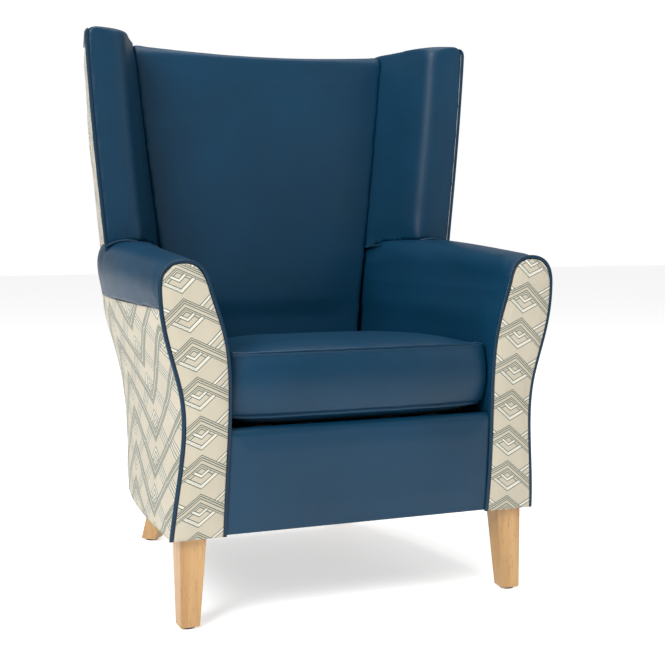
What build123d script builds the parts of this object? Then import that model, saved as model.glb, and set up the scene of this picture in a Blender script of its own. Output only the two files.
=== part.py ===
from build123d import *
from collections import namedtuple
from math import cos, radians, sin, tan
import os

os.makedirs("parts", exist_ok=True)

# A high-back wing armchair with a loose seat cushion. Millimetres, +Z up, the front towards -Y,
# the origin on the floor under the middle. The right side is modelled and mirrored for the left.

# Driving dimensions
BASE_Z = 160.0          # underside of the upholstery
LOFT_BASE_Z = 145.0     # the arm is lofted from here, then cut level at its underside
FRAME_Z = 162.0         # underside of the timber, on top of the dust cover
RAIL_TOP_Z = 292.0      # top of the side and rear seat rails
SEAM_Z = 558.0          # seam between the arm top and the outside arm
ARM_RAIL_TOP_Z = 590.0
WING_TOP_Z = 1075.0
WING_FRONT_Y = 70.0
REAR_Y = 310.0          # outside back at the underside
BACK_RAKE = 1.6         # degrees, outside back
INSIDE_RAKE = 2.3       # degrees, inside back
SEAT_TILT = 5.0         # degrees, down towards the rear

SKIN = 5.0              # covered panel
PANEL_INSET = SKIN + 0.1
FACING = 8.0            # covered arm facing board
FACING_GAP = 0.15       # between the facing and its piping
INNER_WALL = 28.0       # padding on the inside arm
PIPING_R = 3.6
BOARD = 24.0            # seat rails
POST_FRONT_Y = 245.0    # front of the back posts at the underside
POST_DEPTH = 55.0
SPRING_R = 1.8
SPRING_COUNT = 5
LEG_H = 156.0           # wood only, above the glide
GLIDE_H = 4.0
BODY_GAP = 0.3          # between the cushion and what it rests on

# Seat cushion: a foam core in a cover, narrower towards the rear
CUSHION_FRONT_Y = -340.0
CUSHION_REAR_Y = 171.0
CUSHION_Z = 358.0       # underside at the front
CUSHION_H = 136.0
CUSHION_HALF_FRONT = 249.0
CUSHION_HALF_REAR = 218.5
COVER = 2.5
CUSHION_CORNER_R = 36.0
CUSHION_LOWER_R = 20.0
CUSHION_UPPER_R = 24.0

# How the arm's outline changes from the front to the rear, right side. base, waist and flare are
# outer x, crown is the highest point, shoulder and inner are inner x.
ArmStation = namedtuple("ArmStation", "y base waist flare crown_x crown_z shoulder inner")
ARM_STATIONS = [
    ArmStation(-355.0, 353.0, 337.0, 373.0, 332.0, 636.0, 290.0, 254.0),
    ArmStation(-150.0, 350.0, 344.0, 384.0, 334.0, 650.0, 281.0, 243.0),
    ArmStation(50.0, 334.0, 339.0, 381.0, 325.0, 662.0, 260.0, 231.0),
    ArmStation(340.0, 262.0, 276.0, 315.0, 285.0, 672.0, 226.0, 211.0),
]
WAIST_Z = 405.0
FLARE_DROP = 45.0       # widest point below the crown
SHOULDER_DROP = 34.0

# How the wing's plan changes with height, right side
WingStation = namedtuple("WingStation", "z outer_front outer_rear back_edge")
WING_STATIONS = [
    WingStation(600.0, 367.0, 318.0, 226.0),
    WingStation(750.0, 381.0, 331.0, 246.0),
    WingStation(900.0, 394.0, 342.0, 262.0),
    WingStation(1090.0, 404.0, 352.0, 281.0),
]
WING_BORDER = 72.0      # width of the wing's front
WING_LOFT_REAR_Y = 350.0

# Half-width of the inside back at heights up its side
BACK_EDGE = [(208.0, 312.0), (216.0, 500.0), (236.0, 672.0), (262.0, 900.0), (279.0, 1064.0)]
BACK_TOP_DIP = 13.0     # the top edge is lower in the middle

# Half-width of the outside back at heights up its side
REAR_EDGE = [(263.0, BASE_Z), (277.0, 410.0), (316.0, 640.0), (347.0, 1030.0)]


def save(piece, name):
    piece.part.label = name
    export_step(piece.part, f"parts/{name}.step")


def save_pair(right, name):
    """Writes the right-hand piece and its mirror image."""
    save(right, f"right_{name}")
    with BuildPart() as left:
        mirror(right.part, about=Plane.YZ)
    save(left, f"left_{name}")


def rear_y(z, inset=0.0):
    """The outside back's y at a height, with an inset towards the front."""
    return REAR_Y + (z - BASE_Z) * tan(radians(BACK_RAKE)) - inset


def inside_y(z, inset=0.0):
    """The inside back's y at a height, with an inset towards the rear."""
    return 184.0 + (z - 400.0) * tan(radians(INSIDE_RAKE)) + inset


def back_plane(y_at_base, rake=BACK_RAKE):
    """A plane facing the front, leaning back, for sketches in x and height above the underside."""
    return Plane(
        origin=(0, y_at_base, BASE_Z), x_dir=(1, 0, 0), z_dir=(0, -cos(radians(rake)), sin(radians(rake)))
    )


def seat_plane(depth):
    """The tilted seat plane, a depth below the cushion's underside, its origin at the front."""
    tilt = radians(SEAT_TILT)
    normal = (0, sin(tilt), cos(tilt))
    origin = (0, CUSHION_FRONT_Y - depth * sin(tilt), CUSHION_Z - depth * cos(tilt))
    return Plane(origin=origin, x_dir=(1, 0, 0), z_dir=normal)


def arm_section(full, inset):
    """The arm's closed outline, seen from the front, moved in by inset."""
    station = full._replace(
        base=full.base - inset, waist=full.waist - inset, flare=full.flare - inset,
        crown_z=full.crown_z - inset, shoulder=full.shoulder + inset, inner=full.inner + inset,
    )
    flare_z = full.crown_z - FLARE_DROP
    crown = (station.crown_x, station.crown_z)
    shoulder = (station.shoulder, station.crown_z - SHOULDER_DROP)
    with BuildSketch(Plane.XZ.offset(-station.y)) as outline:
        with BuildLine():
            Line((station.inner + 5, LOFT_BASE_Z), (station.base, LOFT_BASE_Z))
            Spline(
                (station.base, LOFT_BASE_Z), (station.waist, WAIST_Z), (station.flare, flare_z),
                tangents=[(-0.05, 1), (0, 1)],
            )
            Spline((station.flare, flare_z), crown, tangents=[(0, 1), (-1, 0)])
            Spline(crown, shoulder, tangents=[(-1, 0), (-0.3, -1)])
            Spline(
                shoulder,
                (station.inner + 7, 500),
                (station.inner, WAIST_Z - 10),
                (station.inner + 5, LOFT_BASE_Z),
                tangents=[(-0.3, -1), (0, -1)],
            )
        make_face()
    return outline.sketch


def slab_section(station, from_inner, from_outer):
    """A flat-topped outline below the seam whose sides follow the arm's, moved in x."""
    rise = (SEAM_Z - WAIST_Z) / (station.crown_z - FLARE_DROP - WAIST_Z)
    outer_top = station.waist + (station.flare - station.waist) * rise**1.4 + from_outer
    inner_top = station.inner + 19 + from_inner
    with BuildSketch(Plane.XZ.offset(-station.y)) as outline:
        with BuildLine():
            Line((station.inner + 5 + from_inner, LOFT_BASE_Z), (station.base + from_outer, LOFT_BASE_Z))
            Spline(
                (station.base + from_outer, LOFT_BASE_Z),
                (station.waist + from_outer, WAIST_Z),
                (outer_top, SEAM_Z),
                tangents=[(-0.05, 1), (0.3, 1)],
            )
            Line((outer_top, SEAM_Z), (inner_top, SEAM_Z))
            Spline(
                (inner_top, SEAM_Z),
                (station.inner + from_inner, WAIST_Z - 10),
                (station.inner + 5 + from_inner, LOFT_BASE_Z),
                tangents=[(-0.2, -1), (0, -1)],
            )
        make_face()
    return outline.sketch


def front_curve(inset):
    """The line of the arm's front seen from the side: three points of an arc, moved back by inset."""
    return [(-314.0 + inset, LOFT_BASE_Z - 5), (-344.0 + inset, 440.0), (-338.0 + inset, 700.0)]


def side_slab(points_front, rear):
    """A sketch of everything from a front arc back to rear, in y and z."""
    with BuildSketch(Plane.YZ) as sketch:
        with BuildLine():
            ThreePointArc(*points_front)
            top, bottom = points_front[2], points_front[0]
            Polyline(top, (rear, top[1]), (rear, bottom[1]), bottom)
        make_face()
    return sketch


def wing_section(station):
    """The wing's plan at one height: outer side, rear, side against the back, inner face, front."""
    corners = [
        (station.outer_front, WING_FRONT_Y),
        (station.outer_rear, WING_LOFT_REAR_Y),
        (station.back_edge, WING_LOFT_REAR_Y),
        (station.back_edge, inside_y(station.z, 10.0)),
        (station.outer_front - WING_BORDER, WING_FRONT_Y + 3),
    ]
    with BuildSketch(Plane.XY.offset(station.z)) as sketch:
        with BuildLine():
            FilletPolyline(*corners, radius=[0, 0, 0, 0, 22], close=True)
        make_face()
    return sketch


def wing_inside_section(station):
    """Everything inside the wing's outer panel at one height, run out past the other sides."""
    run = 50.0
    slope = (station.outer_front - station.outer_rear) / (WING_LOFT_REAR_Y - WING_FRONT_Y)
    front_x = station.outer_front - SKIN + run * slope
    rear_x = station.outer_rear - SKIN - run * slope
    with BuildSketch(Plane.XY.offset(station.z)) as sketch:
        Polygon(
            (front_x, WING_FRONT_Y - run), (rear_x, WING_LOFT_REAR_Y + run),
            (0, WING_LOFT_REAR_Y + run), (0, WING_FRONT_Y - run), align=None,
        )
    return sketch


def leaning_bar(low, high):
    """A straight bar lofted between two level rectangles, each (x0, x1, y0, y1, z)."""
    with BuildPart() as bar:
        for x0, x1, y0, y1, z in (low, high):
            with BuildSketch(Plane.XY.offset(z)):
                with Locations(((x0 + x1) / 2, (y0 + y1) / 2)):
                    Rectangle(x1 - x0, y1 - y0)
        loft(ruled=True)
    return bar


def level_bar(front, rear, z0, z1):
    """A level bar that runs from the front to the rear, (x0, x1, y) at each end."""
    with BuildPart() as bar:
        with BuildSketch(Plane.XY.offset(z0)):
            Polygon(
                (front[0], front[2]), (front[1], front[2]), (rear[1], rear[2]), (rear[0], rear[2]),
                align=None,
            )
        extrude(amount=z1 - z0)
    return bar


def box_bar(x0, x1, y0, y1, z0, z1):
    with BuildPart() as bar:
        with Locations(((x0 + x1) / 2, (y0 + y1) / 2, (z0 + z1) / 2)):
            Box(x1 - x0, y1 - y0, z1 - z0)
    return bar


def cut(piece, *others):
    """The piece with every other piece taken out of it."""
    with BuildPart() as result:
        add(piece.part)
        for other in others:
            add(other.part, mode=Mode.SUBTRACT)
    return result


def common(piece, other):
    """What two pieces share."""
    with BuildPart() as shared:
        add(piece.part)
        add(other.part, mode=Mode.INTERSECT)
    return shared


def mirrored(piece):
    """The piece together with its mirror image."""
    with BuildPart() as both:
        add(piece.part)
        mirror(piece.part, about=Plane.YZ)
    return both


def arm_loft(inset):
    """The whole padded arm from the front to the rear, before it's cut into layers."""
    with BuildPart() as arm:
        for station in ARM_STATIONS:
            add(arm_section(station, inset))
        loft()
        with BuildSketch(back_plane(REAR_Y - PANEL_INSET)):
            Rectangle(1000, 3000)
        extrude(amount=-200, mode=Mode.SUBTRACT)
    return arm


def slab_loft(from_inner, from_outer):
    """A flat-topped block that follows the arm's sides, each moved in x."""
    with BuildPart() as slab:
        for station in ARM_STATIONS:
            add(slab_section(station, from_inner, from_outer))
        loft()
    return slab


def behind_front(inset):
    """Everything behind the arm's curved front, moved back by inset."""
    with BuildPart() as block:
        extrude(side_slab(front_curve(inset), 400).sketch, amount=500, dir=(1, 0, 0))
    return block


def cushion_solid(inset):
    """The cushion's rounded box on the tilted seat, moved in by inset."""
    run = (CUSHION_REAR_Y - CUSHION_FRONT_Y) / cos(radians(SEAT_TILT))
    with BuildPart() as solid:
        with BuildSketch(seat_plane(-inset)) as outline:
            Polygon(
                (-CUSHION_HALF_FRONT + inset, inset),
                (CUSHION_HALF_FRONT - inset, inset),
                (CUSHION_HALF_REAR - inset, run - inset),
                (-CUSHION_HALF_REAR + inset, run - inset),
                align=None,
            )
            fillet(outline.vertices(), radius=CUSHION_CORNER_R - inset)
        extrude(amount=CUSHION_H - 2 * inset)
        fillet(solid.faces().sort_by(Axis.Z)[0].edges(), radius=CUSHION_LOWER_R - inset)
        fillet(solid.faces().sort_by(Axis.Z)[-1].edges(), radius=CUSHION_UPPER_R - inset)
    return solid


# Seat cushion: lifts straight out.
with BuildPart() as seat_cushion_foam:
    add(cushion_solid(COVER).part)
save(seat_cushion_foam, "seat_cushion_foam")

with BuildPart() as seat_cushion_cover:
    add(cushion_solid(0).part)
    add(seat_cushion_foam.part, mode=Mode.SUBTRACT)
save(seat_cushion_cover, "seat_cushion_cover")

arm_envelope = arm_loft(0)
BIG = 1000.0            # longer than the chair, for cutting


with BuildPart() as below_base:
    with Locations((0, 0, BASE_Z - BIG / 2)):
        Box(2 * BIG, 2 * BIG, BIG)

# Arm facing: a thin covered board over the arm's front, set in by the width of its piping.
arm_facing = cut(common(arm_loft(PIPING_R + FACING_GAP), behind_front(0)), behind_front(FACING), below_base)
save_pair(arm_facing, "arm_facing")

# Facing piping: a cord along both sides and over the top of the facing.
piping_section = common(arm_envelope, behind_front(FACING / 2))
piping_front = piping_section.faces().sort_by(Axis.Y)[0]
facing_edges = piping_front.outer_wire().edges().sort_by(Axis.Z)[1:]
facing_wire = Wire(facing_edges)
with BuildPart() as facing_piping_blank:
    with BuildSketch(Plane(origin=facing_wire @ 0, z_dir=facing_wire % 0)):
        Circle(PIPING_R)
    sweep(path=facing_wire)
facing_piping = cut(facing_piping_blank, below_base)
save_pair(facing_piping, "facing_piping")

# Wing envelope: the whole padded wing, above the arm.
with BuildPart() as wing_profile:
    with BuildSketch(Plane.YZ):
        with BuildLine():
            top_rear = WING_TOP_Z - 12
            FilletPolyline(
                (WING_FRONT_Y - 5, 602), (WING_FRONT_Y - 5, WING_TOP_Z),
                (rear_y(top_rear, PANEL_INSET), top_rear), (rear_y(602, PANEL_INSET), 602),
                radius=[0, 12, 34, 0], close=True,
            )
        make_face()
    extrude(amount=500)

with BuildPart() as wing_block:
    for station in WING_STATIONS:
        add(wing_section(station).sketch)
    loft()
    add(wing_profile.part, mode=Mode.INTERSECT)
wing_envelope = cut(wing_block, arm_envelope)

with BuildPart() as wing_inside:
    for station in WING_STATIONS:
        add(wing_inside_section(station).sketch)
    loft()

# Outside wing: a covered panel over the wing's outer side.
outside_wing_blank = cut(wing_envelope, wing_inside)

with BuildPart() as wing_core:
    add(wing_envelope.part)
    add(wing_inside.part, mode=Mode.INTERSECT)

# Wing piping: up the outer front edge and back over the top.
outer_face = outside_wing_blank.faces().sort_by(SortBy.AREA)[-2:].sort_by(Axis.X)[-1]
wing_edges = [
    edge
    for edge in outer_face.outer_wire().edges()
    if edge.center().Y < WING_FRONT_Y + 5 or edge.center().Z > WING_TOP_Z - 20
]
wing_wire = Wire(wing_edges)
with BuildPart() as wing_piping:
    with BuildSketch(Plane(origin=wing_wire @ 0, z_dir=wing_wire % 0)):
        Circle(PIPING_R)
    sweep(path=wing_wire)

# Wing seam piping: across the foot of the wing's front and back along its inner face.
with BuildPart() as wing_seam_blank:
    with BuildLine() as seam_line:
        Spline(
            (371, WING_FRONT_Y - 1, 654), (345, WING_FRONT_Y - 1, 663.5), (320, WING_FRONT_Y + 1, 663.5),
            (296, WING_FRONT_Y + 12, 657), (265, 130, 650), (240, 190, 648),
        )
    with BuildSketch(Plane(origin=seam_line.line @ 0, z_dir=seam_line.line % 0)):
        Circle(PIPING_R)
    sweep(path=seam_line.line)

save_pair(wing_piping, "wing_piping")
wing_seam_piping = cut(wing_seam_blank, wing_piping)
save_pair(wing_seam_piping, "wing_seam_piping")

outside_wing_panel = cut(outside_wing_blank, wing_piping, wing_seam_piping)
save_pair(outside_wing_panel, "outside_wing_panel")

# Timber frame, right side
FRONT_POST_INNER = 288.0
FRONT_POST_OUTER = 330.0
FRONT_POST_REAR = -262.0
with BuildPart() as front_post_blank:
    extrude(side_slab(front_curve(FACING), FRONT_POST_REAR).sketch, amount=FRONT_POST_OUTER, dir=(1, 0, 0))
    with Locations((0, 0, (FRAME_Z + SEAM_Z) / 2)):
        Box(BIG, BIG, SEAM_Z - FRAME_Z, mode=Mode.INTERSECT)
    Box(2 * FRONT_POST_INNER, 2 * BIG, 2 * BIG, mode=Mode.SUBTRACT)

back_post = leaning_bar(
    (215.0, 255.0, POST_FRONT_Y, POST_FRONT_Y + POST_DEPTH, FRAME_Z),
    (283.0, 323.0, POST_FRONT_Y + 24, POST_FRONT_Y + 24 + POST_DEPTH, 1030.0),
)
arm_rail = cut(level_bar((294.0, 348.0, -325.0), (262.0, 314.0, 250.0), SEAM_Z, ARM_RAIL_TOP_Z), back_post)
side_seat_rail = cut(
    level_bar((261.0, 285.0, -276.0), (229.0, 253.0, POST_FRONT_Y + 20), FRAME_Z, RAIL_TOP_Z), back_post
)

# Leg fixings: a threaded insert in the timber over each leg and a bolt down into the leg.
FRONT_LEG = (311.0, -283.0)
REAR_LEG = (197.0, 276.0)
BOLT_R = 4.0
INSERT_R = 6.5
INSERT_L = 18.0
with BuildPart() as leg_bolt_blank:
    for x, y in (FRONT_LEG, REAR_LEG):
        with Locations((x, y, BASE_Z)):
            Cylinder(BOLT_R, 80.0)

with BuildPart() as leg_insert_blank:
    for x, y in (FRONT_LEG, REAR_LEG):
        with Locations((x, y, FRAME_Z + INSERT_L / 2)):
            Cylinder(INSERT_R, INSERT_L)
    add(leg_bolt_blank.part, mode=Mode.SUBTRACT)

front_post = cut(front_post_blank, leg_bolt_blank, leg_insert_blank)
save_pair(front_post, "front_post")
save_pair(back_post, "back_post")
save_pair(arm_rail, "arm_rail")
save_pair(side_seat_rail, "side_seat_rail")


back_posts = mirrored(back_post)
leg_bolts = mirrored(leg_bolt_blank)
leg_inserts = mirrored(leg_insert_blank)
save(leg_bolts, "leg_bolts")
save(leg_inserts, "leg_inserts")

# Rails between the sides
FRONT_RAIL_Y = -300.0
FRONT_RAIL_TOP_Z = 338.0
front_seat_rail = box_bar(
    -FRONT_POST_INNER, FRONT_POST_INNER, FRONT_RAIL_Y, FRONT_RAIL_Y + BOARD, FRAME_Z, FRONT_RAIL_TOP_Z
)
save(front_seat_rail, "front_seat_rail")
rear_seat_rail = cut(
    box_bar(-240.0, 240.0, 234.0, 234.0 + BOARD, FRAME_Z, RAIL_TOP_Z), back_posts, mirrored(side_seat_rail)
)
save(rear_seat_rail, "rear_seat_rail")
back_lower_rail = cut(box_bar(-260.0, 260.0, 262.0, 262.0 + BOARD, 400.0, 450.0), back_posts)
save(back_lower_rail, "back_lower_rail")
back_top_rail = cut(box_bar(-300.0, 300.0, 276.0, 276.0 + BOARD, 985.0, 1030.0), back_posts)
save(back_top_rail, "back_top_rail")

# Corner blocks: two behind the front rail, two behind the rear rail over the rear legs.
with BuildPart() as corner_block_right:
    with BuildSketch(Plane.XY.offset(FRAME_Z)):
        Polygon((261, -276), (221, -276), (259, -236), align=None)
        with Locations((192.5, 279.5)):
            Rectangle(45, 43)
    extrude(amount=70)
corner_blocks = cut(
    mirrored(corner_block_right), mirrored(side_seat_rail), leg_bolts, leg_inserts, back_posts, rear_seat_rail
)
save(corner_blocks, "corner_blocks")

# Wing frame: a board with a window, set in the middle of the wing.
with BuildPart() as wing_board:
    for z in (ARM_RAIL_TOP_Z, 1040.0):
        rise = (z - 600.0) / 490.0
        front_x = 367.0 + 37.0 * rise - 34
        rear_x = 318.0 + 34.0 * rise - 30
        with BuildSketch(Plane.XY.offset(z)):
            Polygon((front_x, 90), (rear_x, 310), (rear_x - 18, 310), (front_x - 18, 90), align=None)
    loft(ruled=True)
wing_board_solid = cut(wing_board, back_post)
with BuildPart() as wing_frame:
    add(wing_board_solid.part.solids().sort_by(Axis.Y)[0])
    with BuildSketch(Plane.YZ):
        with Locations((180, 820)):
            RectangleRounded(100, 280, 20)
    extrude(amount=500, mode=Mode.SUBTRACT)
save_pair(wing_frame, "wing_frame")

# Outside arm: a covered panel from the facing to the rear, below the seam.
arm_behind = cut(common(arm_envelope, behind_front(FACING)), below_base)

with BuildPart() as outside_arm_panel:
    add(arm_behind.part)
    with Locations((0, 0, SEAM_Z + BIG / 2)):
        Box(2 * BIG, 2 * BIG, BIG, mode=Mode.SUBTRACT)
    add(slab_loft(-60, -SKIN).part, mode=Mode.SUBTRACT)
save_pair(outside_arm_panel, "outside_arm_panel")

# Arm pad: the arm's top and its padded inner side, over the arm rail and down to the seat rail.
with BuildPart() as arm_pad_blank:
    add(arm_behind.part)
    add(slab_loft(INNER_WALL, 70).part, mode=Mode.SUBTRACT)
    with Locations((0, 0, RAIL_TOP_Z - BIG / 2)):
        Box(2 * BIG, 2 * BIG, BIG, mode=Mode.SUBTRACT)
arm_pad = cut(
    arm_pad_blank, front_post, arm_rail, back_post, wing_frame, wing_piping, wing_seam_piping,
    outside_arm_panel, front_seat_rail, back_lower_rail,
)
save_pair(arm_pad, "arm_pad")

# Wing pad: the padded inner side, front border and top of the wing.
wing_pad = cut(wing_core, wing_board, back_post, back_top_rail, wing_piping, wing_seam_piping, arm_pad)
save_pair(wing_pad, "wing_pad")

# Inside back: the padded panel between the wings, rolled over the top rail.
with BuildPart() as inside_back_side:
    with BuildSketch(Plane.YZ) as side:
        with BuildLine():
            hook_z = 984.0
            FilletPolyline(
                (inside_y(312), 312), (inside_y(1066), 1066), (rear_y(1060, PANEL_INSET), 1060),
                (rear_y(hook_z, PANEL_INSET), hook_z), (POST_FRONT_Y + 19, hook_z), (POST_FRONT_Y - 2, 312),
                radius=[0, 26, 34, 0, 0, 0], close=True,
            )
        make_face()
    extrude(amount=300, both=True)

with BuildPart() as inside_back_front:
    with BuildSketch(Plane.XZ) as front:
        with BuildLine():
            Spline(*BACK_EDGE)
            corner_x, corner_z = BACK_EDGE[-1]
            ThreePointArc((corner_x, corner_z), (0, corner_z - BACK_TOP_DIP), (-corner_x, corner_z))
            Spline(*[(-x, z) for x, z in BACK_EDGE])
            Line((-BACK_EDGE[0][0], BACK_EDGE[0][1]), BACK_EDGE[0])
        make_face()
    extrude(amount=400, both=True)
    add(inside_back_side.part, mode=Mode.INTERSECT)
inside_back = cut(
    inside_back_front, mirrored(arm_pad), mirrored(wing_pad), back_posts, back_top_rail,
    mirrored(wing_seam_piping), mirrored(side_seat_rail),
)
save(inside_back, "inside_back")

# Outside back: a covered panel over the whole rear.
with BuildPart() as outside_back:
    with BuildSketch(back_plane(REAR_Y)) as rear_outline:
        with BuildLine():
            rear_points = [(x, (z - BASE_Z) / cos(radians(BACK_RAKE))) for x, z in REAR_EDGE]
            Spline(*rear_points)
            Line(rear_points[-1], (-rear_points[-1][0], rear_points[-1][1]))
            Spline(*[(-x, z) for x, z in rear_points])
            Line((-rear_points[0][0], rear_points[0][1]), rear_points[0])
        make_face()
    extrude(amount=SKIN)
save(outside_back, "outside_back")

# Front border: the padded panel under the cushion, over the front rail and its top edge.
with BuildPart() as front_border_blank:
    with BuildSketch(Plane.YZ) as border_side:
        with BuildLine():
            ThreePointArc((-313, FRAME_Z), (-326, 252), (-334, 338))
            ThreePointArc((-334, 338), (-329.5, 346.5), (-320, 350))
            Polyline((-320, 350), (-240, 347), (-240, 341.5), (-300, 346), (-300, FRAME_Z), (-313, FRAME_Z))
        make_face()
    extrude(amount=258, both=True)
front_border = cut(
    front_border_blank, mirrored(arm_pad), mirrored(arm_facing), mirrored(facing_piping),
    mirrored(front_post), mirrored(side_seat_rail), front_seat_rail,
)
save(front_border, "front_border")

# Seat platform: stretched over the springs, just under the cushion.
PLATFORM_T = 8.0
PLATFORM_START = 102.0  # along the seat from the cushion's front
PLATFORM_END = 504.0
SEAT_RUN = 512.0


def seat_half_width(run):
    """The cushion's half-width at a distance along the seat."""
    return CUSHION_HALF_FRONT + (CUSHION_HALF_REAR - CUSHION_HALF_FRONT) * run / SEAT_RUN


with BuildPart() as seat_platform_blank:
    with BuildSketch(seat_plane(BODY_GAP)):
        start, end = seat_half_width(PLATFORM_START), seat_half_width(PLATFORM_END)
        Polygon(
            (-start, PLATFORM_START), (start, PLATFORM_START), (end, PLATFORM_END), (-end, PLATFORM_END),
            align=None,
        )
    extrude(amount=-PLATFORM_T)
seat_platform = cut(seat_platform_blank, mirrored(arm_pad), front_border, inside_back)
save(seat_platform, "seat_platform")

# Zigzag springs under the platform, from the front rail to the rear rail.
SPRING_HALF_WIDTH = 22.0
SPRING_PITCH = 38.6
SPRING_START = 54.0
SPRING_BENDS = 14
SPRING_DEPTH = BODY_GAP + PLATFORM_T + SPRING_R + 0.5

with BuildPart() as spring:
    with BuildLine(seat_plane(SPRING_DEPTH)) as spring_line:
        zigzag = [(0, SPRING_START)]
        for index in range(SPRING_BENDS):
            side = SPRING_HALF_WIDTH * (1 if index % 2 else -1)
            zigzag.append((side, SPRING_START + SPRING_PITCH * index + 4))
            zigzag.append((side, SPRING_START + SPRING_PITCH * (index + 1) - 4))
        zigzag.append((0, SPRING_START + SPRING_PITCH * SPRING_BENDS))
        FilletPolyline(*zigzag, radius=8)
    with BuildSketch(Plane(origin=spring_line.line @ 0, z_dir=spring_line.line % 0)):
        Circle(SPRING_R)
    sweep(path=spring_line.line)

spring_xs = [(index - (SPRING_COUNT - 1) / 2) * 84.0 for index in range(SPRING_COUNT)]
with BuildPart() as seat_springs:
    for x in spring_xs:
        add(spring.part.moved(Location((x, 0, 0))))
save(seat_springs, "seat_springs")

# Spring clips: a small folded clip holds each end of each spring on its rail.
with BuildPart() as spring_clip_blank:
    for run in (SPRING_START, SPRING_START + SPRING_PITCH * SPRING_BENDS):
        for x in spring_xs:
            with Locations(seat_plane(SPRING_DEPTH).location * Location((x, run, 0))):
                Box(16, 12, 2 * SPRING_R + 0.8)
spring_clips = cut(spring_clip_blank, seat_springs, front_seat_rail, front_border, rear_seat_rail)
save(spring_clips, "spring_clips")

# Back webbing: straps across the front of the back posts.
with BuildPart() as back_webbing_blank:
    for height in (260.0, 400.0, 540.0, 680.0):
        with BuildSketch(back_plane(POST_FRONT_Y + 1)):
            with Locations((0, height)):
                Rectangle(2 * (235.0 + height * 0.08), 50)
        extrude(amount=1.5)
back_webbing = cut(
    back_webbing_blank, back_posts, inside_back, mirrored(arm_pad), mirrored(wing_pad), mirrored(wing_frame),
    back_lower_rail,
)
save(back_webbing, "back_webbing")

# Dust cover: black cloth under the seat frame.
with BuildPart() as dust_cover:
    with BuildSketch(Plane.XY.offset(BASE_Z)):
        with BuildLine():
            half = [(station.base - 10, station.y) for station in ARM_STATIONS[1:3]]
            half = [(341, -302)] + half + [(256, REAR_Y - SKIN - 4)]
            Spline(*half)
            Line(half[-1], (-half[-1][0], half[-1][1]))
            Spline(*[(-x, y) for x, y in half])
            Line((-half[0][0], half[0][1]), half[0])
        make_face()
    extrude(amount=FRAME_Z - BASE_Z)
    add(leg_bolts.part, mode=Mode.SUBTRACT)
save(dust_cover, "dust_cover")

# Legs. The front ones are upright with a taper on the inner and rear faces, the rear ones splayed.
LEG_TOP = 48.0
LEG_FOOT = 35.0
FRONT_LEG_CORNER = (335.0, -306.0)
with BuildPart() as front_leg_blank:
    for size, z in ((LEG_FOOT, GLIDE_H), (LEG_TOP, GLIDE_H + LEG_H)):
        with BuildSketch(Plane.XY.offset(z)):
            with Locations((FRONT_LEG_CORNER[0] - size / 2, FRONT_LEG_CORNER[1] + size / 2)):
                RectangleRounded(size, size, 2)
    loft(ruled=True)
    chamfer(front_leg_blank.faces().sort_by(Axis.Z)[0].edges(), length=1.2)
front_leg = cut(front_leg_blank, leg_bolt_blank)
save_pair(front_leg, "front_leg")

REAR_FOOT = (224.0, 330.0)
REAR_LEG_TURN = 42.0
with BuildPart() as rear_leg_blank:
    for (x, y), size, z in ((REAR_FOOT, LEG_FOOT, GLIDE_H), (REAR_LEG, 44.0, GLIDE_H + LEG_H)):
        with BuildSketch(Plane.XY.offset(z)):
            with Locations((x, y)):
                RectangleRounded(size, size, 2, rotation=REAR_LEG_TURN)
    loft(ruled=True)
    chamfer(rear_leg_blank.faces().sort_by(Axis.Z)[0].edges(), length=1.2)
rear_leg = cut(rear_leg_blank, leg_bolt_blank)
save_pair(rear_leg, "rear_leg")

GLIDE_R = 13.0
with BuildPart() as leg_glide_right:
    foot = FRONT_LEG_CORNER[0] - LEG_FOOT / 2, FRONT_LEG_CORNER[1] + LEG_FOOT / 2
    for x, y in (foot, REAR_FOOT):
        with Locations((x, y, GLIDE_H / 2)):
            Cylinder(GLIDE_R, GLIDE_H)
    fillet(leg_glide_right.faces().filter_by(Axis.Z).group_by(Axis.Z)[0].edges(), radius=1)
leg_glides = mirrored(leg_glide_right)
save(leg_glides, "leg_glides")
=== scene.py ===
"""A high-back wing armchair: blue vinyl pads, patterned woven panels, blue piping and beech legs."""
from functools import reduce
from math import cos, pi, radians, sin, tan

import bmesh
import bpy
import numpy as np
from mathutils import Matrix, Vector
from mathutils.bvhtree import BVHTree
from mathutils.kdtree import KDTree


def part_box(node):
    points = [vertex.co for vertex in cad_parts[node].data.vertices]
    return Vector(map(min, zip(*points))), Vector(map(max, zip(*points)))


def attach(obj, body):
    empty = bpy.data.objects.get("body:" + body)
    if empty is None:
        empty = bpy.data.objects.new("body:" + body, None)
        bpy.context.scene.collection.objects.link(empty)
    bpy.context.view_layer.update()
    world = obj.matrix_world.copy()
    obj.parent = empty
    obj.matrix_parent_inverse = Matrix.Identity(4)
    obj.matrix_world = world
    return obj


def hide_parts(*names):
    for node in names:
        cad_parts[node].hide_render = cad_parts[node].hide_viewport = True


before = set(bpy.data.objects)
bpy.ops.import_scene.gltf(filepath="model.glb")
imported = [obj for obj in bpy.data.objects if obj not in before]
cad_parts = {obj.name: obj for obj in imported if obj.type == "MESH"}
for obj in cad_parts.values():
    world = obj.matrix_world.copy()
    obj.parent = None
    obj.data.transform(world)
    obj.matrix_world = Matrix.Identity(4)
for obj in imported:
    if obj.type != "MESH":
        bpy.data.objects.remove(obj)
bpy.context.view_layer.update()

SIDES = (("left", -1), ("right", 1))
SEAT_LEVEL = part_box("seat_cushion_cover")[1][2]
WING_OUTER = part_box("right_wing_piping")[1][0]
WING_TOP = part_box("right_wing_piping")[1][2]
WING_SEAM_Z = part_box("right_wing_seam_piping")[0][2] + 0.001


# ---------------------------------------------------------------------------------------------
# Node graphs


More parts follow.
